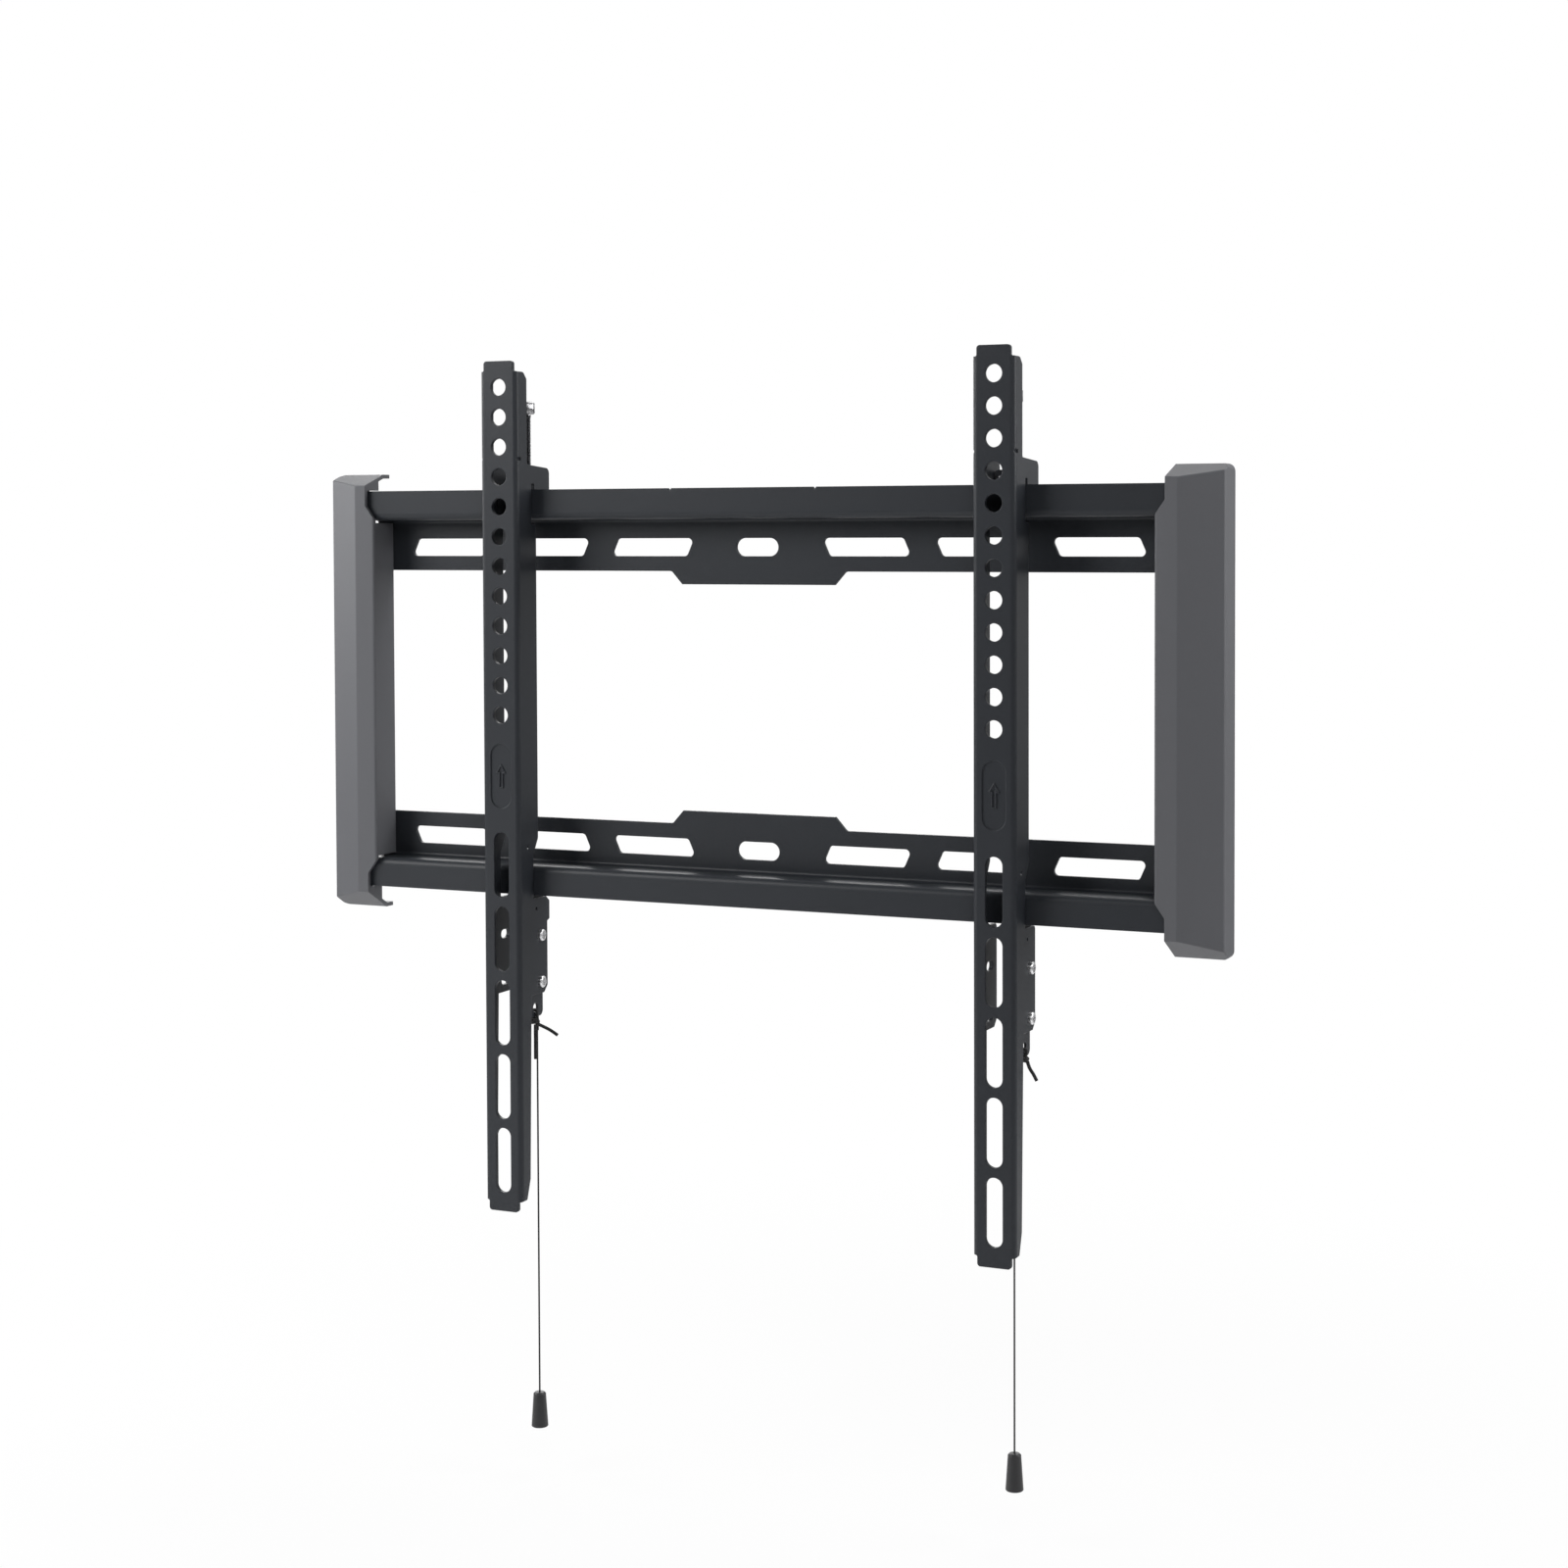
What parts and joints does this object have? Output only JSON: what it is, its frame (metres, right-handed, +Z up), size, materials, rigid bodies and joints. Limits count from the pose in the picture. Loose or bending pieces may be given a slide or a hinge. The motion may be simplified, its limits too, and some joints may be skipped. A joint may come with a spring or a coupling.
{
  "type": "tv wall mount",
  "caption": "Slim fixed wall mount: folded slotted rails between faceted end covers, with hook-on screen arms, level screws and sprung latches with pull cords.",
  "frame": {"origin": "on the wall plane, at the centre of the wall frame", "axes": "+X to the viewer's right along the rails, +Y into the wall, +Z up"},
  "size_m": [0.483, 0.035, 0.545],
  "materials": {
    "black_steel": "fine satin black powder coat",
    "grey_plastic": "fine-grained dark grey moulding",
    "zinc": "bright zinc plate",
    "cord": "braided black cord",
    "black_plastic": "satin black moulding"
  },
  "bodies": {
    "frame": {"upper_rail": "black_steel", "lower_rail": "black_steel", "left_cover": "grey_plastic", "right_cover": "grey_plastic"},
    "left_arm": {"left_arm": "black_steel", "left_level_bridge": "zinc", "left_latch_screws": "zinc", "left_latch_nuts": "zinc", "left_latch_spring": "zinc"},
    "left_latch": {"left_latch": "black_steel", "left_cord_knot": "cord", "left_pull_cord": "cord", "left_pull_bell": "black_plastic", "left_stop_knot": "cord"},
    "left_level_screw": {"left_level_screw": "zinc"},
    "right_arm": {"right_arm": "black_steel", "right_level_bridge": "zinc", "right_latch_screws": "zinc", "right_latch_nuts": "zinc", "right_latch_spring": "zinc"},
    "right_latch": {"right_latch": "black_steel", "right_cord_knot": "cord", "right_pull_cord": "cord", "right_pull_bell": "black_plastic", "right_stop_knot": "cord"},
    "right_level_screw": {"right_level_screw": "zinc"}
  },
  "joints": [
    {"name": "left_arm_slide", "type": "slide", "parent": "frame", "child": "left_arm", "axis": [1, 0, 0], "range_m": [-0.071, 0.113]},
    {"name": "left_latch_pull", "type": "slide", "parent": "left_arm", "child": "left_latch", "axis": [0, 0, -1], "range_m": [0, 0.013], "stiffness_N_per_m": 300, "springref_m": -0.01, "deforming": ["left_latch_spring"]},
    {"name": "left_level_turn", "type": "hinge", "parent": "left_arm", "child": "left_level_screw", "pos_m": [-0.128, -0.0062, 0.12], "axis": [0, 0, 1], "continuous": true},
    {"name": "right_arm_slide", "type": "slide", "parent": "frame", "child": "right_arm", "axis": [1, 0, 0], "range_m": [-0.1214, 0.0626]},
    {"name": "right_latch_pull", "type": "slide", "parent": "right_arm", "child": "right_latch", "axis": [0, 0, -1], "range_m": [0, 0.013], "stiffness_N_per_m": 300, "springref_m": -0.01, "deforming": ["right_latch_spring"]},
    {"name": "right_level_turn", "type": "hinge", "parent": "right_arm", "child": "right_level_screw", "pos_m": [0.1364, -0.0062, 0.12], "axis": [0, 0, 1], "continuous": true}
  ]
}
